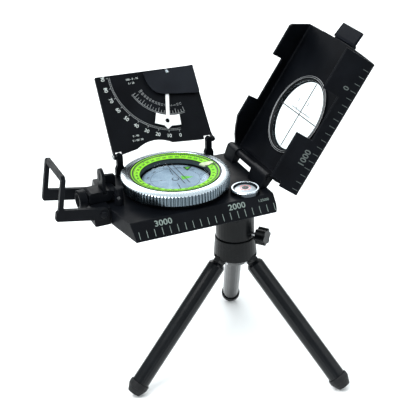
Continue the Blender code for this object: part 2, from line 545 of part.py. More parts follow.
leaf = [(-4.0, 14.0), (4.0, 14.0), (4.0, 21.8)] + arc((0, 21.6), 4.0, 12, 168, 9) + [(-4.0, 21.8)]
sight_leaf = outline("sight_leaf", leaf, 1.5, eye_body, (LEAF_X, ey, 0), YZ, GREY_PAINT)
combine(sight_leaf, "DIFFERENCE", box("sight_slit", (4, 1.0, 4.4), eye_body, (LEAF_X, ey, 21.0)))
eye_post = turned("eyepiece_post", disc_profile(2.25, 17.5, BASE_HEIGHT + GAP, 0.4), base_body,
                  (*EYE_POST_AT, 0), look=BLACK_PAINT, steps=SMALL_STEPS)
post_bore = cylinder("eye_post_bore", 1.2, 8, base_body, (ex, EYE_POST_AT[1], ez), XZ, steps=16)
combine(eye_post, "DIFFERENCE", post_bore)
cheek = rounded([(-3.4, BASE_HEIGHT + GAP), (4.2, BASE_HEIGHT + GAP), (4.2, 18.6), (-3.4, 19.2)], [0, 0, 0.8, 0.8])
eye_cheek = outline("eyepiece_cheek", cheek, 2.0, base_body, (0, CHEEK_Y, 0), XZ, BLACK_PAINT)
cheek_bore = cylinder("eye_cheek_bore", 1.2, 8, base_body, (ex, CHEEK_Y, ez), XZ, steps=16)
combine(eye_cheek, "DIFFERENCE", cheek_bore)
cylinder("eyepiece_pin", 0.9, 16.0, base_body, (ex, 34.4, ez), XZ, STEEL, 16)

# ---------------------------------------------------------------- ball head
turned("ball_stud", [(0, -0.3), (8.0, -0.3), (8.4, -0.7), (8.4, -2.8), (7.6, -3.4), (3.4, -4.4), (2.5, -5.4)]
       + [(BALL_R * math.sin(math.radians(a)), BALL_Z + BALL_R * math.cos(math.radians(a)))
          for a in range(24, 181, 12)], base_body, (*AXIS, 0), look=BLACK_GLOSS, steps=24)
turned("camera_screw", disc_profile(3.0, 5.4, 0.0, 0.5), base_body, (*AXIS, 0), look=STEEL, steps=SMALL_STEPS)

CUP_R = BALL_R + GAP
rim_angle = 44
cup = [(HOUSING_R - 0.6, HOUSING_TOP), (HOUSING_R, HOUSING_TOP - 0.6), (HOUSING_R, HOUSING_BOTTOM + 0.3),
       (HOUSING_R - 0.3, HOUSING_BOTTOM), (3.4, HOUSING_BOTTOM), (3.4, HOUSING_BOTTOM + 1.2), (0, HOUSING_BOTTOM + 1.2)]
cup += [(CUP_R * math.sin(math.radians(a)), BALL_Z + CUP_R * math.cos(math.radians(a)))
        for a in range(180, rim_angle - 1, -17)]
cup += [(7.4, HOUSING_TOP)]
ball_housing = turned("ball_housing", cup, head_body, (*AXIS, 0), look=BLACK_GLOSS, ring=True)
slot_dir = math.radians(200)
slot_at = (AXIS[0] + 8 * math.cos(slot_dir), AXIS[1] + 8 * math.sin(slot_dir), HOUSING_TOP)
housing_slot = box("housing_slot", (10, 6.0, 9.0), head_body, slot_at, (0, 0, 20))
knob_dir = math.radians(KNOB_AZIMUTH)
knob_turn = (90, 0, 90 + KNOB_AZIMUTH)


def knob_point(r):
    return (AXIS[0] + r * math.cos(knob_dir), AXIS[1] + r * math.sin(knob_dir), KNOB_Z)


screw_bore = cylinder("screw_bore", 1.5, 8.0, head_body, knob_point(11.4), knob_turn, steps=16)
combine(ball_housing, "DIFFERENCE", housing_slot, screw_bore)

# ---------------------------------------------------------------- lock knob
knob_body = Body("lock_knob", knob_point(HOUSING_R), head_body)
lobes = 6
knob_shape = []
for i in range(48):
    a = 2 * math.pi * i / 48
    r = 4.2 + 0.55 * math.cos(lobes * a)
    knob_shape.append((r * math.cos(a), r * math.sin(a)))
lock_knob = outline("lock_knob", knob_shape, 5.6, knob_body, knob_point(KNOB_AT), knob_turn, BLACK_GLOSS)
soften(lock_knob, 0.6)
knob_bore = cylinder("knob_bore", 1.5, 5.0, knob_body, knob_point(KNOB_AT - 2.4), knob_turn, steps=16)
combine(lock_knob, "DIFFERENCE", knob_bore)
cylinder("lock_screw", 1.2, 7.6, knob_body, knob_point(11.9), knob_turn, STEEL, 16)

# ---------------------------------------------------------------- tripod hub
hub = turned("tripod_hub", [(0, HUB_TOP + 1.2), (3.1, HUB_TOP + 1.2), (3.1, HUB_TOP), (HUB_TOP_R - 0.3, HUB_TOP),
                            (HUB_TOP_R, HUB_TOP - 0.3), (HUB_R, HUB_BOTTOM + HUB_CHAMFER),
                            (HUB_R - HUB_CHAMFER, HUB_BOTTOM), (0, HUB_BOTTOM)],
             hub_body, (*AXIS, 0), look=BLACK_GLOSS)

rise = FOOT_R - LEG_HINGE_R
drop = LEG_HINGE_Z - (FOOT_Z + CAP_R)
LEG_LENGTH = math.hypot(rise, drop)
LEG_ANGLE = math.degrees(math.atan2(rise, drop))
TONGUE_T, TONGUE_R, LEG_PIN_R, LEG_TOP = 4.4, 2.3, 1.0, -2.6

for number, azimuth in enumerate(LEG_AZIMUTHS, 1):
    way = math.radians(azimuth)
    hinge = (AXIS[0] + LEG_HINGE_R * math.cos(way), AXIS[1] + LEG_HINGE_R * math.sin(way), LEG_HINGE_Z)
    slot_mid = (AXIS[0] + 9.6 * math.cos(way), AXIS[1] + 9.6 * math.sin(way), LEG_HINGE_Z - 1.0)
    hub_slot = box(f"hub_slot_{number}", (6.8, 5.0, 7.4), hub_body, slot_mid, (0, 0, azimuth))
    pin_bore = cylinder(f"hub_bore_{number}", LEG_PIN_R + GAP, 12.6, hub_body, hinge, (90, 0, azimuth), steps=16)
    combine(hub, "DIFFERENCE", hub_slot, pin_bore)
    cylinder(f"leg_pin_{number}", LEG_PIN_R, 12.0, hub_body, hinge, (90, 0, azimuth), STEEL, 16)
    # The leg's own axes: -Z runs down it, Y is its hinge axis.
    leg_body = Body(f"leg_{number}", hinge, hub_body, (0, -LEG_ANGLE, azimuth))
    leg_end = -LEG_LENGTH - 0.6
    leg = turned(f"leg_{number}", [(0, LEG_TOP), (3.3, LEG_TOP), (3.8, LEG_TOP - 0.3), (LEG_R, LEG_TOP - 1.6),
                                     (LEG_R, leg_end), (0, leg_end)],
                 leg_body, (0, 0, 0), look=BLACK_GLOSS, steps=SMALL_STEPS)
    tongue_outline = [(-TONGUE_R, LEG_TOP - 2.4), (TONGUE_R, LEG_TOP - 2.4)] + arc((0, 0), TONGUE_R, 0, 180, 10)
    tongue = outline(f"tongue_{number}", tongue_outline, TONGUE_T, leg_body, (0, 0, 0), XZ)
    eye = cylinder(f"leg_eye_{number}", LEG_PIN_R + GAP, 8, leg_body, (0, 0, 0), XZ, steps=16)
    combine(leg, "UNION", tongue)
    combine(leg, "DIFFERENCE", eye)
    foot = -LEG_LENGTH
    rest = math.radians(90 - LEG_ANGLE)
    sole = foot - CAP_R * math.sin(rest)
    sleeve = [(LEG_R + GAP, foot + 2.6), (CAP_R - 0.2, foot + 2.6), (CAP_R, foot + 2.2), (CAP_R, foot)]
    pocket = [(0, foot - 1.0), (LEG_R + GAP, foot - 1.0)]
    turned(f"foot_cap_{number}", pocket + sleeve + [(CAP_R * math.cos(rest), sole), (0, sole - 0.6)], leg_body, (0, 0, 0),
           look=RUBBER, steps=SMALL_STEPS)
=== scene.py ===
import math

import bmesh
import bpy
from mathutils import Matrix, Vector


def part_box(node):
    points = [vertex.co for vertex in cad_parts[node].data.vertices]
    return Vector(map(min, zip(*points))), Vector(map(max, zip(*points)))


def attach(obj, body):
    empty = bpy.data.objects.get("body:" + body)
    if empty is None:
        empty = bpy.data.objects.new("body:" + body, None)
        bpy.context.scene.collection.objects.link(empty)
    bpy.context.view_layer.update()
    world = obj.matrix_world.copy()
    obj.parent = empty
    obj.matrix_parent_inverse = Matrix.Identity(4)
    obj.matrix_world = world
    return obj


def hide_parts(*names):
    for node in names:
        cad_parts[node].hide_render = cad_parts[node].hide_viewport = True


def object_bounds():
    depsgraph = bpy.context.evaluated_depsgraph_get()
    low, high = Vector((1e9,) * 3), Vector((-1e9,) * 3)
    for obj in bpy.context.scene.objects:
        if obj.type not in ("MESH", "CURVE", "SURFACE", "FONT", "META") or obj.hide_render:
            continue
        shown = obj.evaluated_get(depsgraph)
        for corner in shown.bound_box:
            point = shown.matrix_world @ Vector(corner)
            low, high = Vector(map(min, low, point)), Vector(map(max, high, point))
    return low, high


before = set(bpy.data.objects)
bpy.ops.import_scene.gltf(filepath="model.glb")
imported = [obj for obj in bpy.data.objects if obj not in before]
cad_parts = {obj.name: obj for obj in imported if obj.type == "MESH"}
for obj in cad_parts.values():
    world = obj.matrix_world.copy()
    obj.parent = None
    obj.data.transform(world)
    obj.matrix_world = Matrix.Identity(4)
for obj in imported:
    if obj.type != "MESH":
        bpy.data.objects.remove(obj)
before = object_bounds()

MM = 0.001

# ------------------------------------------------------------------ frames on the object
BASE_LENGTH, BEVEL_RUN, BASE_HEIGHT = 75.5, 6.4, 7.9
DIAL = (34.04, 33.9)
low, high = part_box("bezel_ring")
corner = (low + high) / 2 - Vector((*DIAL, 0)) * MM
corner.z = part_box("base_plate")[0].z
LEVEL = (63.5, 13.8)
MID_Y = 33.9
CLINO_W = 55.6
BEZEL_R, BEZEL_TOP_R, RING_R, RING_IN_R = 27.75, 23.5, 22.44, 18.06
BEZEL_Z0, BEZEL_Z1, BEZEL_TOP = 10.4, 15.85, 16.7
FIRST_TICK, TICK, TICK_WIDTH = 2.11, 4, 0.26
PRINT_LOW, PRINT_HIGH = -0.02, 0.05
FLOOR_HALF = 6.0
SHARP_ANGLE = 32


def axes(origin, x, y):
    """A frame in millimetres from an origin and two directions."""
    x, y = Vector(x).normalized(), Vector(y).normalized()
    m = Matrix((x, y, x.cross(y))).transposed().to_4x4()
    m.translation = Vector(origin)
    return m


BASE = Matrix.Translation(corner) @ Matrix.Scale(MM, 4)
FRONT = BASE @ axes((0, 0, 0), (1, 0, 0), (0, BEVEL_RUN, BASE_HEIGHT))
DIALS = BASE @ Matrix.Translation((*DIAL, 0))
BUBBLE = BASE @ Matrix.Translation((*LEVEL, 0))
LID = BASE @ Matrix.Translation((76.0, MID_Y, 13.0)) @ Matrix.Rotation(math.radians(-56), 4, "Y")
LID = LID @ Matrix.Translation((2.68, -MID_Y, -12.06))
LID_WALL = LID @ axes((0, MID_Y - 34.2, 0), (1, 0, 0), (0, 6.2, 16.1))
WINDOW = LID @ Matrix.Translation((30.74, MID_Y, 0))
CLINO = BASE @ Matrix.Translation((38.2, 58.5, 19.25)) @ Matrix.Rotation(math.radians(52.1), 4, "X")
CLINO = CLINO @ Matrix.Translation((-CLINO_W / 2, 0, -0.3))


def polar(radius, degrees):
    """The point at a radius and an angle."""
    a = math.radians(degrees)
    return radius * math.cos(a), radius * math.sin(a)


# ------------------------------------------------------------------ materials
class Graph:
    """A node material built step by step."""

    def __init__(self, name):
        self.mat = bpy.data.materials.new(name)
        self.mat.use_nodes = True
        self.tree = self.mat.node_tree
        self.shader = self.tree.nodes["Principled BSDF"]
        coords = self.tree.nodes.new("ShaderNodeTexCoord")
        self.coords = coords.outputs["Object"]

    def node(self, kind, links=None, **settings):
        n = self.tree.nodes.new(kind)
        for key, value in settings.items():
            setattr(n, key, value)
        for socket, source in (links or {}).items():
            if hasattr(source, "is_linked"):
                self.tree.links.new(source, n.inputs[socket])
            else:
                n.inputs[socket].default_value = source
        return n

    def noise(self, scale, detail=3.0, rough=0.55, stretch=(1, 1, 1)):
        mapped = self.node("ShaderNodeMapping", {"Vector": self.coords, "Scale": stretch})
        return self.node("ShaderNodeTexNoise", {"Vector": mapped.outputs["Vector"], "Scale": scale,
                                                "Detail": detail, "Roughness": rough}).outputs["Fac"]

    def span(self, value, a, b, lo, hi):
        return self.node("ShaderNodeMapRange", {"Value": value, "From Min": a, "From Max": b, "To Min": lo,
                                                "To Max": hi}).outputs["Result"]

    def mix(self, factor, a, b):
        n = self.node("ShaderNodeMix", data_type="RGBA")
        for index, source in ((0, factor), (6, a), (7, b)):
            if hasattr(source, "is_linked"):
                self.tree.links.new(source, n.inputs[index])
            else:
                n.inputs[index].default_value = source if index == 0 else (*source, 1.0)
        return n.outputs[2]

    def to(self, socket, source):
        if hasattr(source, "is_linked"):
            self.tree.links.new(source, self.shader.inputs[socket])
        else:
            self.shader.inputs[socket].default_value = source


def finish_of(name, dark, light, rough, metal=0.0, grain=900.0, bump=0.12, patch=60.0, edge_wear_and_highlight=0.0,
              worn_and_lit_edge_colour=(0.5, 0.5, 0.52), edge=0.25, coat=0.0, stretch=(1, 1, 1), spec=0.5):
    """Mottled colour, uneven gloss, fine grain, softened edges, and edges lightened both as rubbed paint and
    as a painted highlight.
    """
    g = Graph(name)
    mottled = g.span(g.noise(patch, 4.0), 0.32, 0.68, 0.0, 1.0)
    fine = g.noise(grain, 2.0, 0.5, stretch)
    colour = g.mix(mottled, dark, light)
    soft = g.node("ShaderNodeBevel", {"Radius": edge * MM}, samples=3)
    bumped = g.node("ShaderNodeBump", {"Height": fine, "Strength": bump, "Distance": 0.0001,
                                       "Normal": soft.outputs["Normal"]})
    gloss = g.span(g.noise(patch * 2.3, 3.0), 0.3, 0.7, rough * 0.82, rough * 1.2)
    # Lighter colour where the soft normal bends away from the true one: rubbed paint on the edges, and a
    # painted highlight where the edges catch light.
    if edge_wear_and_highlight:
        true = g.node("ShaderNodeNewGeometry")
        bend = g.node("ShaderNodeVectorMath", {0: soft.outputs["Normal"], 1: true.outputs["Normal"]},
                      operation="DOT_PRODUCT").outputs["Value"]
        rim = g.span(bend, 0.985, 0.86, 0.0, edge_wear_and_highlight)
        rubbed_and_lit = g.node("ShaderNodeMath", {0: rim, 1: g.span(g.noise(420.0, 4.0, 0.7), 0.4, 0.62, 0.1, 1.0)},
                        operation="MULTIPLY").outputs["Value"]
        colour = g.mix(rubbed_and_lit, colour, worn_and_lit_edge_colour)
    g.to("Base Color", colour)
    g.to("Roughness", gloss)
    g.to("Metallic", metal)
    g.to("Normal", bumped.outputs["Normal"])
    g.to("Coat Weight", coat)
    g.to("Coat Roughness", 0.15)
    g.to("Specular IOR Level", spec)
    return g.mat


black = finish_of("satin_black_paint", (0.0018, 0.0022, 0.0032), (0.004, 0.0048, 0.0066), 0.40, edge_wear_and_highlight=0.6,
                  worn_and_lit_edge_colour=(0.05, 0.056, 0.065), grain=1500.0, bump=0.14, edge=0.35, spec=0.06)
gloss = finish_of("gloss_black_paint", (0.003, 0.0035, 0.004), (0.006, 0.007, 0.008), 0.3, edge_wear_and_highlight=0.4,
                  worn_and_lit_edge_colour=(0.04, 0.045, 0.05), grain=600.0, bump=0.08, edge=0.35, coat=0.04, spec=0.12)
window_black = finish_of("window_ring_paint", (0.002, 0.0024, 0.0032), (0.004, 0.0048, 0.006), 0.35,
                         grain=1500.0, bump=0.08, spec=0.1)
leg_gloss = finish_of("leg_gloss_paint", (0.0025, 0.003, 0.004), (0.005, 0.006, 0.0075), 0.22, edge_wear_and_highlight=0.4,
                      worn_and_lit_edge_colour=(0.04, 0.045, 0.05), grain=600.0, bump=0.04, coat=0.1, spec=0.18)
grey = finish_of("grey_paint", (0.004, 0.005, 0.008), (0.008, 0.010, 0.014), 0.42, edge_wear_and_highlight=0.6,
                 worn_and_lit_edge_colour=(0.10, 0.11, 0.13), grain=1400.0, bump=0.12, spec=0.12)
tab_grey = finish_of("tab_grey_paint", (0.002, 0.003, 0.0055), (0.004, 0.0055, 0.009), 0.42, edge_wear_and_highlight=0.5,
                     worn_and_lit_edge_colour=(0.07, 0.08, 0.10), grain=1400.0, bump=0.12, spec=0.04)
# Light grey for the window ring's edges: a painted highlight.
rim_highlight_paint = finish_of("window_rim_painted_highlight", (0.30, 0.31, 0.32), (0.36, 0.37, 0.38), 0.4, grain=1500.0, bump=0.03,
                      edge=0.05)
rubber = finish_of("foot_rubber", (0.004, 0.004, 0.005), (0.009, 0.010, 0.011), 0.55, grain=1800.0, bump=0.35,
                   spec=0.25)
steel = finish_of("steel", (0.42, 0.43, 0.44), (0.6, 0.61, 0.62), 0.3, 1.0, grain=2200.0, bump=0.1)
bright = finish_of("bright_aluminium", (0.44, 0.50, 0.54), (0.52, 0.58, 0.62), 0.25, 1.0, grain=2600.0,
                   bump=0.02, edge=0.08)
white = finish_of("white_enamel", (0.78, 0.79, 0.8), (0.86, 0.87, 0.88), 0.35, grain=1200.0, bump=0.06,
                  edge=0.1)
lime = finish_of("lime_ring", (0.16, 0.56, 0.010), (0.27, 0.66, 0.03), 0.42, grain=1600.0, bump=0.06,
                 patch=110.0, spec=0.25)


def by_slope(mat, wall, low=0.25, high=0.6):
    """Paints shade into a finish: a darker second colour where its surface stands upright, in the part's own
    axes.
    """
    tree, shader = mat.node_tree, mat.node_tree.nodes["Principled BSDF"]
    top = shader.inputs["Base Color"].links[0].from_socket
    normal = tree.nodes.new("ShaderNodeTexCoord").outputs["Normal"]
    split = tree.nodes.new("ShaderNodeSeparateXYZ")
    slope = tree.nodes.new("ShaderNodeMapRange")
    mix = tree.nodes.new("ShaderNodeMix")
    mix.data_type = "RGBA"
    tree.links.new(normal, split.inputs[0])
    tree.links.new(split.outputs["Z"], slope.inputs["Value"])
    slope.inputs["From Min"].default_value, slope.inputs["From Max"].default_value = low, high
    tree.links.new(slope.outputs["Result"], mix.inputs[0])
    mix.inputs[6].default_value = (*wall, 1.0)
    tree.links.new(top, mix.inputs[7])
    tree.links.new(mix.outputs[2], shader.inputs["Base Color"])
    return mat


# Painted shade: the level collar, the bezel and the lime ring get a dark colour on their upright faces.
collar = by_slope(finish_of("collar_aluminium", (0.34, 0.39, 0.43), (0.44, 0.49, 0.53), 0.26, 1.0,
                            grain=2600.0, bump=0.02, edge=0.08), (0.06, 0.07, 0.08))
bezel_metal = by_slope(finish_of("bezel_aluminium", (0.50, 0.58, 0.63), (0.62, 0.69, 0.74), 0.24, 1.0,
                                 grain=2600.0, bump=0.01, patch=18.0, edge=0.05), (0.13, 0.165, 0.19))
by_slope(lime, (0.05, 0.06, 0.065), 0.5, 0.8)
card = finish_of("dial_card", (0.25, 0.30, 0.37), (0.36, 0.41, 0.49), 0.5, grain=1500.0, bump=0.05,
                 patch=150.0, spec=0.15)
print_white = finish_of("white_print", (0.50, 0.55, 0.54), (0.62, 0.67, 0.65), 0.55, grain=3000.0, bump=0.1,
                        patch=260.0, edge=0.02)
print_grey = finish_of("ruler_print", (0.13, 0.17, 0.155), (0.19, 0.24, 0.22), 0.55, grain=3000.0, bump=0.1,
                       patch=260.0, edge=0.02)
print_arc = finish_of("arc_print", (0.17, 0.18, 0.185), (0.26, 0.275, 0.28), 0.55, grain=3000.0, bump=0.1,
                      patch=260.0, edge=0.02)
# The base ruler's print colour at about a third of its brightness: painted shade on the lid wall's ruler.
shaded_ruler_print = finish_of("lid_ruler_print", (0.045, 0.058, 0.055), (0.075, 0.092, 0.088), 0.55, grain=3000.0,
                      bump=0.1, patch=260.0, edge=0.02)
print_black = finish_of("black_print", (0.008, 0.008, 0.009), (0.016, 0.016, 0.018), 0.5, grain=3000.0,
                        patch=260.0, edge=0.02)
print_green = finish_of("green_print", (0.10, 0.48, 0.02), (0.16, 0.56, 0.03), 0.45, patch=200.0, edge=0.02)
print_cream = finish_of("cream_print", (0.42, 0.50, 0.30), (0.55, 0.60, 0.42), 0.45, patch=200.0, edge=0.02)
print_red = finish_of("red_print", (0.62, 0.06, 0.05), (0.72, 0.10, 0.08), 0.45, patch=200.0, edge=0.02)


def clear(name, tint, rough=0.03, see=0.85, haze=0.05, shine=0.2):
    """Clear glass or acrylic: mostly see-through, with a faint smear and edge reflections."""
    g = Graph(name)
    smear = g.noise(90.0, 5.0, 0.6)
    g.to("Base Color", (0.8, 0.86, 0.9, 1.0))
    g.to("Metallic", 1.0)
    g.to("Roughness", g.span(smear, 0.3, 0.7, rough, rough * 1.6))
    through = g.node("ShaderNodeBsdfTransparent", {"Color": (*tint, 1.0)})
    facing = g.node("ShaderNodeLayerWeight", {"Blend": 0.2}).outputs["Fresnel"]
    edge = g.span(facing, 0.0, 1.0, 1.0 - see, shine)
    smeared = g.node("ShaderNodeMath", {0: edge, 1: g.span(smear, 0.35, 0.65, 0.0, haze)}, operation="ADD")
    both = g.node("ShaderNodeMixShader", {"Fac": smeared.outputs["Value"], 1: through.outputs["BSDF"],
                                          2: g.shader.outputs["BSDF"]})
    out = g.tree.nodes["Material Output"]
    g.tree.links.new(both.outputs["Shader"], out.inputs["Surface"])
    return g.mat


glass = clear("clear_glass", (0.93, 0.97, 0.98), see=0.999, haze=0.002, shine=0.05)
window = clear("lid_window_glass", (0.95, 0.98, 0.99), see=0.999, haze=0.002, shine=0.08)
vial = finish_of("level_vial", (0.36, 0.41, 0.45), (0.50, 0.55, 0.58), 0.12, grain=400.0, bump=0.02,
                 patch=90.0, coat=0.6)
lens = clear("lens_glass", (0.25, 0.30, 0.36), see=0.9, haze=0.03)

LOOKS = {
    "base_plate": black, "end_block": black, "capsule_cup": black, "card_pivot": steel,
    "level_collar": collar, "level_vial": vial,
    "lid_lug_front": black, "lid_lug_rear": black, "lid_pin": black,
    "clino_post_left": black, "clino_post_right": black, "clino_pin_left": steel, "clino_pin_right": steel,
    "loop_pin_front": black, "loop_pin_rear": black, "eyepiece_post": black, "eyepiece_cheek": black,
    "eyepiece_pin": steel, "ball_stud": gloss, "camera_screw": steel, "bezel_ring": bright,
    "graduated_ring": lime, "dial_glass": glass, "compass_card": card, "lid_shell": black,
    "window_ring": window_black, "window_glass": window, "thumb_tab": tab_grey, "clino_plate": black,
    "clino_cover": grey, "pendulum_pin": bright, "pendulum": white, "thumb_loop": black,
    "eyepiece_housing": black, "eyepiece_barrel": black, "eyepiece_lens": lens, "sight_leaf": black,
    "ball_housing": gloss, "lock_knob": gloss, "lock_screw": steel, "tripod_hub": gloss,
}
for number in (1, 2, 3):
    LOOKS.update({f"leg_{number}": leg_gloss, f"foot_cap_{number}": rubber, f"leg_pin_{number}": steel})
for name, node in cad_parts.items():
    node.data.materials.clear()
    node.data.materials.append(LOOKS[name])
    node.data.shade_smooth()
    node.data.set_sharp_from_angle(angle=math.radians(SHARP_ANGLE))


# ------------------------------------------------------------------ mesh pieces
class Piece:
    """A mesh built in a frame's millimetres, then put in the world."""

    def __init__(self, name, place):
        self.name, self.place, self.mesh = name, place, bmesh.new()

    def solid(self, points, z0, z1):
        """A flat outline (anticlockwise) raised from z0 to z1; a z may be a function of x and y."""
        def level(z, p):
            return z(*p) if callable(z) else z
        lower = [self.mesh.verts.new((x, y, level(z0, (x, y)))) for x, y in points]
        upper = [self.mesh.verts.new((x, y, level(z1, (x, y)))) for x, y in points]
        self.mesh.faces.new(upper)
        self.mesh.faces.new(lower[::-1])
        for i in range(len(points)):
            j = (i + 1) % len(points)
            self.mesh.faces.new((lower[i], lower[j], upper[j], upper[i]))

    def stroke(self, a, b, width, z0=PRINT_LOW, z1=PRINT_HIGH):
        """A straight printed line from a to b."""
        a, b = Vector(a), Vector(b)
        side = (b - a).normalized().orthogonal() * width / 2
        self.solid([tuple(p) for p in (a - side, b - side, b + side, a + side)][::-1], z0, z1)

    def band(self, centre, inner, outer, start, end, z0=PRINT_LOW, z1=PRINT_HIGH, steps=None):
        """An arc band as short solid pieces."""
        steps = steps or max(3, int(abs(end - start) / 5))
        for i in range(steps):
            a0, a1 = (start + (end - start) * k / steps for k in (i, i + 1))
            quad = [polar(inner, a0), polar(outer, a0), polar(outer, a1), polar(inner, a1)]
            self.solid([(centre[0] + x, centre[1] + y) for x, y in quad], z0, z1)

    def text(self, words, at, height, turn=0.0, z=PRINT_HIGH, squeeze=1.0, bold=0.0):
        """Figures centred on a point, turned about it."""
        curve = bpy.data.curves.new(self.name + "_figures", "FONT")
        curve.body, curve.align_x, curve.align_y = words, "CENTER", "CENTER"
        curve.extrude, curve.offset, curve.resolution_u = 0.035, bold, 3
        holder = bpy.data.objects.new(self.name + "_figures", curve)
        bpy.context.scene.collection.objects.link(holder)
        bpy.context.view_layer.update()
        mesh = bpy.data.meshes.new_from_object(holder.evaluated_get(bpy.context.evaluated_depsgraph_get()))
        tall = max(v.co.y for v in mesh.vertices) - min(v.co.y for v in mesh.vertices)
        mid = (max(v.co.y for v in mesh.vertices) + min(v.co.y for v in mesh.vertices)) / 2
        scale = height / tall
        turned = Matrix.Rotation(math.radians(turn), 3, "Z")
        for v in mesh.vertices:
            flat = turned @ Vector((v.co.x * scale * squeeze, (v.co.y - mid) * scale, 0))
            v.co = (at[0] + flat.x, at[1] + flat.y, z if v.co.z > 0 else z - PRINT_HIGH + PRINT_LOW)
        self.mesh.from_mesh(mesh)
        bpy.data.objects.remove(holder, do_unlink=True)
        bpy.data.curves.remove(curve)
        bpy.data.meshes.remove(mesh)

    def revolve(self, profile, steps, shape=None):
        """A closed profile of (radius, z) turned about the frame's Z; shape may change a radius."""
        rings = []
        for i in range(steps):
            a = 360 * i / steps
            ring = []
            for k, (r, z) in enumerate(profile):
                x, y = polar(shape(k, r, a) if shape else r, a)
                ring.append(self.mesh.verts.new((x, y, z)))
            rings.append(ring)
        for i in range(steps):
            this, that = rings[i], rings[(i + 1) % steps]
            for k in range(len(profile)):
                n = (k + 1) % len(profile)
                self.mesh.faces.new((this[k], that[k], that[n], this[n]))

    def bend_to(self, surface):
        """Lifts every point by the surface's height at it."""
        for v in self.mesh.verts:
            v.co.z += surface(v.co.x, v.co.y)

    def done(self, body, look, replaces=(), sharp=SHARP_ANGLE):
        """Closes the piece, gives it its finish and lets it ride on a body."""
        bmesh.ops.recalc_face_normals(self.mesh, faces=self.mesh.faces)
        data = bpy.data.meshes.new(self.name)
        self.mesh.to_mesh(data)
        self.mesh.free()
        data.transform(self.place)
        ob = bpy.data.objects.new(self.name, data)
        bpy.context.scene.collection.objects.link(ob)
        data.materials.append(look)
        data.shade_smooth()
        data.set_sharp_from_angle(angle=math.radians(sharp))
        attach(ob, body)
        if replaces:
            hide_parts(*replaces)
        return ob


# ------------------------------------------------------------------ ruler edge of the base plate
ruler = Piece("base_ruler_print", FRONT)
for i in range(19):
    x = FIRST_TICK + TICK * i
    if x < BASE_LENGTH - 0.6:
        ruler.stroke((x, 1.5), (x, 5.2), TICK_WIDTH)
ruler.text("3000", (FIRST_TICK + TICK * 3 + 1.3, 7.6), 3.0, bold=0.01, squeeze=1.12)
ruler.text("2000", (FIRST_TICK + TICK * 13 + 0.5, 7.6), 3.0, bold=0.01, squeeze=1.12)
ruler.text("1:25000", (FIRST_TICK + TICK * 16.8, 7.8), 1.3)
ruler.done("compass_base", print_grey)

# ------------------------------------------------------------------ bezel, ring, glass and card
RIDGES, PER_RIDGE = 100, 10
bezel_profile = [(BEZEL_TOP_R, 14.9), (BEZEL_TOP_R, BEZEL_TOP - 0.12), (BEZEL_TOP_R + 0.12, BEZEL_TOP),
                 (BEZEL_TOP_R + 0.5, BEZEL_TOP - 0.06), (BEZEL_R - 0.75, BEZEL_Z1 + 0.22),
                 (BEZEL_R - 0.35, BEZEL_Z1 + 0.0), (BEZEL_R - 0.05, BEZEL_Z1 - 0.35),
                 (BEZEL_R, BEZEL_Z1 - 0.7), (BEZEL_R, BEZEL_Z0 + 0.5), (BEZEL_R - 0.35, BEZEL_Z0),
                 (25.4, BEZEL_Z0), (25.4, 14.9)]
KNURLED = {6: 0.5, 7: 1.0, 8: 1.0, 9: 0.5}


def knurl(k, r, a):
    """The radius of profile point k at an angle, cut in by the grooves of the knurling."""
    phase = (a * RIDGES / 360) % 1.0
    groove = max(0.0, 1 - abs(phase - 0.5) / 0.28)
    return r - 0.7 * KNURLED.get(k, 0.0) * min(1.0, groove * 1.5)


bezel = Piece("bezel_knurled", DIALS)
bezel.revolve(bezel_profile, RIDGES * PER_RIDGE, knurl)
bezel.done("bezel", bezel_metal, ("bezel_ring",), 24)


def ring_height(x, y):
    """The height of the sloping graduated ring."""
    r = math.hypot(x, y)
    return 15.7 + (r - RING_IN_R) / (RING_R - RING_IN_R) * 1.0


# Black bands in the gap between the ring and the bezel, and a thin black wall at the ring's inner edge:
# painted shade in the grooves.
groove = Piece("bezel_groove_painted_shade", DIALS)
groove.revolve([(RING_R + 0.05, 16.2), (BEZEL_TOP_R - 0.05, 16.2), (BEZEL_TOP_R - 0.05, 15.6),
                (RING_R + 0.05, 15.6)], 72)
groove.revolve([(RING_IN_R - 0.12, 14.95), (RING_IN_R - 0.02, 14.95), (RING_IN_R - 0.02, 15.66),
                (RING_IN_R - 0.12, 15.66)], 72)
groove.done("bezel", print_black)

ring = Piece("ring_graduations", DIALS)
for i in range(120):
    a = 3 * i
    long = i % 10 == 0
    ring.stroke(polar(21.7, a), polar(20.2 if long else 20.7, a), 0.45 if long else 0.34)
ring.band((0, 0), 21.25, 21.85, 0, 360, z1=0.08, steps=96)
for i in range(36):
    a = 10 * i + 5
    ring.text(str((36 - i) % 36 * 10), polar(19.4, a), 1.25, a - 90, bold=0.02, squeeze=0.9)
ring.bend_to(ring_height)
ring.done("bezel", print_black)

face = Piece("card_graduations", DIALS)
TOP = 12.42
for i in range(180):
    a = 2 * i
    deep = 1.7 if i % 15 == 0 else 1.2 if i % 5 == 0 else 0.7
    face.stroke(polar(16.9, a), polar(16.9 - deep, a), 0.13, TOP - 0.03, TOP + 0.04)
for i in range(12):
    a = 30 * i
    face.text(str((12 - i) % 12 * 30), polar(14.0, a), 1.3, a - 90, TOP + 0.04)
for radius in (12.6, 17.0):
    face.band((0, 0), radius - 0.08, radius + 0.08, 0, 360, TOP - 0.03, TOP + 0.04, 72)
face.stroke((-1.8, -11.3), (-0.5, -2.6), 0.3, TOP, TOP + 0.06)
face.stroke((0.3, 2.6), (1.7, 12.4), 0.3, TOP, TOP + 0.06)
face.stroke((-12.2, 2.6), (-2.6, 0.4), 0.16, TOP, TOP + 0.06)
for x, y in ((-7.2, 1.6), (-1.3, -8.0), (-1.75, -10.9), (1.3, 9.6)):
    face.band((x, y), 0.0, 0.42, 0, 360, TOP, TOP + 0.07, 12)
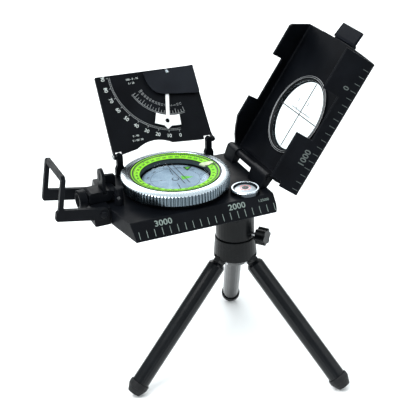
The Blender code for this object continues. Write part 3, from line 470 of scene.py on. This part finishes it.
face.solid([(8.9, 11.9), (9.3, 6.6), (13.6, 10.4)], TOP, TOP + 0.05)
face.band((0, 0), 1.0, 1.9, 0, 360, TOP + 0.05, TOP + 0.16, 24)
face.done("compass_card", print_black)
lit = Piece("card_luminous_marks", DIALS)
lit.solid([(3.0, -2.3), (9.4, -1.3), (3.8, 2.4)], TOP, TOP + 0.08)
lit.solid([(9.7, 10.8), (9.9, 8.2), (12.2, 10.1)], TOP, TOP + 0.08)
lit.done("compass_card", print_green)

sight = Piece("glass_sight_lines", DIALS)
for x, lowest, highest in ((0.6, -11.4, 14.4), (3.2, -11.4, 13.0)):
    sight.stroke((x, lowest), (x, highest), 0.36, 14.88, 14.96)
sight.done("bezel", print_black)


def pointer_height(x, y):
    """The ring's height, and level over the glass inside it."""
    return ring_height(x, y) if math.hypot(x, y) > RING_IN_R else 15.6


index = Piece("index_arrow", DIALS)
index.solid([(15.3, 5.0), (16.9, 2.0), (18.9, 0.9), (22.0, 1.5), (21.3, 3.7), (17.6, 5.6)],
            lambda x, y: pointer_height(x, y) - (0.1 if math.hypot(x, y) > RING_IN_R else 0.6),
            lambda x, y: pointer_height(x, y) + 0.16)
index.done("bezel", print_cream)
mark = Piece("index_arrow_edge", DIALS)
for a, b in (((18.9, 0.7), (22.0, 1.3)), ((17.0, 1.7), (18.9, 0.7)), ((21.4, 3.9), (22.1, 4.2)),
             ((20.0, -0.4), (22.2, -0.2))):
    mark.stroke(a, b, 0.5, 0.1, 0.26)
mark.bend_to(pointer_height)
mark.done("bezel", print_black)

# ------------------------------------------------------------------ round level
spirit = Piece("level_circle", BUBBLE)
for i in range(8):
    spirit.band((0, 0), 2.35, 2.75, 45 * i + 4, 45 * i + 37, 10.2, 10.3, 6)
spirit.done("compass_base", print_red)
bubble = Piece("level_bubble", BUBBLE)
bubble.revolve([(0.9, 10.24), (1.5, 10.32), (1.75, 10.24)], 32)
bubble.band((0.3, -0.2), 0.0, 1.2, 0, 360, 10.2, 10.29, 24)
bubble.done("compass_base", print_black)

# ------------------------------------------------------------------ lid: ruler wall and sighting window
wall = Piece("lid_ruler_print", LID_WALL)
for i in range(18):
    wall.stroke((TICK * i, 2.0), (TICK * i, 5.0), TICK_WIDTH)
wall.text("1000", (16, 7.6), 3.3, bold=0.015)
wall.text("0", (56, 7.6), 3.0, bold=0.015)
wall.done("lid", shaded_ruler_print)

hair = Piece("window_hairline", WINDOW)
CROSS = (0.5, -1.7)
hair.stroke((-18.2, CROSS[1]), (18.6, CROSS[1]), 0.5, 2.2, 2.45)
hair.stroke((CROSS[0], -18.9), (CROSS[0], 17.4), 0.55, 2.2, 2.28)
for i in range(-9, 10):
    tall = 1.6 if i % 5 == 0 else 0.8
    hair.stroke((CROSS[0] + 1.3, CROSS[1] + i), (CROSS[0] + 1.3 + tall, CROSS[1] + i), 0.42, 2.2, 2.32)
for u, y in ((5.6, 5.1), (6.2, -4.1), (12.0, -3.1)):
    hair.stroke((u, y), (u + (0.7 if u > 10 else 2.4), y), 0.42, 2.2, 2.32)
hair.done("lid", print_black)

# Two thin light grey beads on the black window ring: painted highlights along its edges.
rim_highlights = Piece("window_rim_painted_highlights", WINDOW)
RIM_HALF = 0.13
for radius, level in ((20.5, 2.78), (21.3, 2.63)):
    rim_highlights.revolve([(radius, level - 0.1), (radius + RIM_HALF, level), (radius, level + 0.2),
                  (radius - RIM_HALF, level)], 120)
rim_highlights.done("lid", rim_highlight_paint)

# ------------------------------------------------------------------ clinometer scales
scale = Piece("clinometer_scales", CLINO)
CENTRE = (40.0, 40.3)


def on_arc(radius, degrees):
    """A point on a clinometer arc, counted in degrees from straight down."""
    x, y = polar(radius, 270 - degrees)
    return CENTRE[0] + x, CENTRE[1] + y


for i in range(91):
    a = i + 2.6
    if i % 10 == 0:
        scale.text(str(i), on_arc(35.3, a), 1.9, -a)
for words, at in (("0 - 90", (14.4, 9.0)), ("5 / 10 / 30", (15.0, 6.6)), ("100 - 0 - 15", (20.3, 39.4)),
                  ("5 / 10", (19.4, 37.2))):
    scale.text(words, at, 1.0)
scale.done("clinometer", print_white)

arcs = Piece("clinometer_arcs", CLINO)
for radius, first, last in ((31.5, 1, 93), (32.3, 1, 93), (23.3, -10, 67), (23.9, -10, 67)):
    arcs.band(CENTRE, radius - 0.09, radius + 0.09, 270 - first, 270 - last, steps=60)
for i in range(91):
    a = i + 2.6
    if i % 10 == 0:
        arcs.stroke(on_arc(32.3, a), on_arc(33.4, a), 0.26)
    elif i % 2 == 0:
        arcs.stroke(on_arc(31.5, a), on_arc(32.3, a), 0.12)
for i in range(-10, 68, 4):
    deep = 2.6 if i % 12 == 2 else 1.6
    arcs.stroke(on_arc(23.3, i), on_arc(23.3 - deep, i), 0.22)
for i, value in enumerate((15, 10, 5, 0, 5, 10, 15, 20, 25, 30, 40, 50, 60, 80, 100)):
    arcs.text(str(value), on_arc(18.8, -9 + i * 5.2), 1.15, 90 - (-9 + i * 5.2))
arcs.done("clinometer", print_arc)

# ------------------------------------------------------------------ floor, light and camera
floor_mesh = bpy.data.meshes.new("floor")
bm = bmesh.new()
edge = [bm.verts.new((x * FLOOR_HALF, y * FLOOR_HALF, 0)) for x, y in ((-1, -1), (1, -1), (1, 1), (-1, 1))]
bm.faces.new(edge)
bm.to_mesh(floor_mesh)
bm.free()
floor = bpy.data.objects.new("floor", floor_mesh)
bpy.context.scene.collection.objects.link(floor)
paper = Graph("pale_paper")
paper.to("Base Color", paper.mix(paper.noise(3.0), (0.93, 0.95, 0.95), (0.96, 0.97, 0.97)))
paper.to("Roughness", paper.span(paper.noise(40.0), 0.3, 0.7, 0.8, 0.95))
floor_mesh.materials.append(paper.mat)

world = bpy.data.worlds.new("studio")
world.use_nodes = True
sky = world.node_tree
where = sky.nodes.new("ShaderNodeTexCoord")
split = sky.nodes.new("ShaderNodeSeparateXYZ")
rise = sky.nodes.new("ShaderNodeMapRange")
sky.links.new(where.outputs["Generated"], split.inputs["Vector"])
sky.links.new(split.outputs["Z"], rise.inputs["Value"])
for socket, value in (("From Min", 0.05), ("From Max", 0.75), ("To Min", 0.22), ("To Max", 1.0)):
    rise.inputs[socket].default_value = value
sky.links.new(rise.outputs["Result"], sky.nodes["Background"].inputs["Strength"])
sky.nodes["Background"].inputs["Color"].default_value = (0.90, 0.97, 1.0, 1.0)
bpy.context.scene.world = world

centre = (before[0] + before[1]) / 2


def softbox(name, offset, size, power):
    """A rectangular area light that faces the middle of the object."""
    light = bpy.data.lights.new(name, "AREA")
    light.shape, light.size, light.size_y = "RECTANGLE", size[0], size[1]
    light.energy = power
    ob = bpy.data.objects.new(name, light)
    bpy.context.scene.collection.objects.link(ob)
    ob.location = centre + Vector(offset)
    ob.rotation_euler = (-Vector(offset)).to_track_quat("-Z", "Y").to_euler()


softbox("key_softbox", (-0.5, -0.25, 0.75), (0.6, 0.6), 9.0)
softbox("fill_softbox", (0.7, -0.5, 0.35), (0.5, 0.7), 3.0)
softbox("back_softbox", (0.15, 0.8, 0.55), (0.9, 0.5), 6.0)

camera = bpy.data.cameras.new("camera")
camera.lens, camera.sensor_width = 102.217, 36.0
camera.clip_start, camera.clip_end = 0.01, 50.0
eye = bpy.data.objects.new("camera", camera)
bpy.context.scene.collection.objects.link(eye)
eye.location = (-0.21604, -0.50554, 0.37598)
eye.rotation_euler = [math.radians(angle) for angle in (63.016, 0.978, -23.85)]
bpy.context.scene.camera = eye
bpy.context.scene.view_settings.view_transform = "Standard"
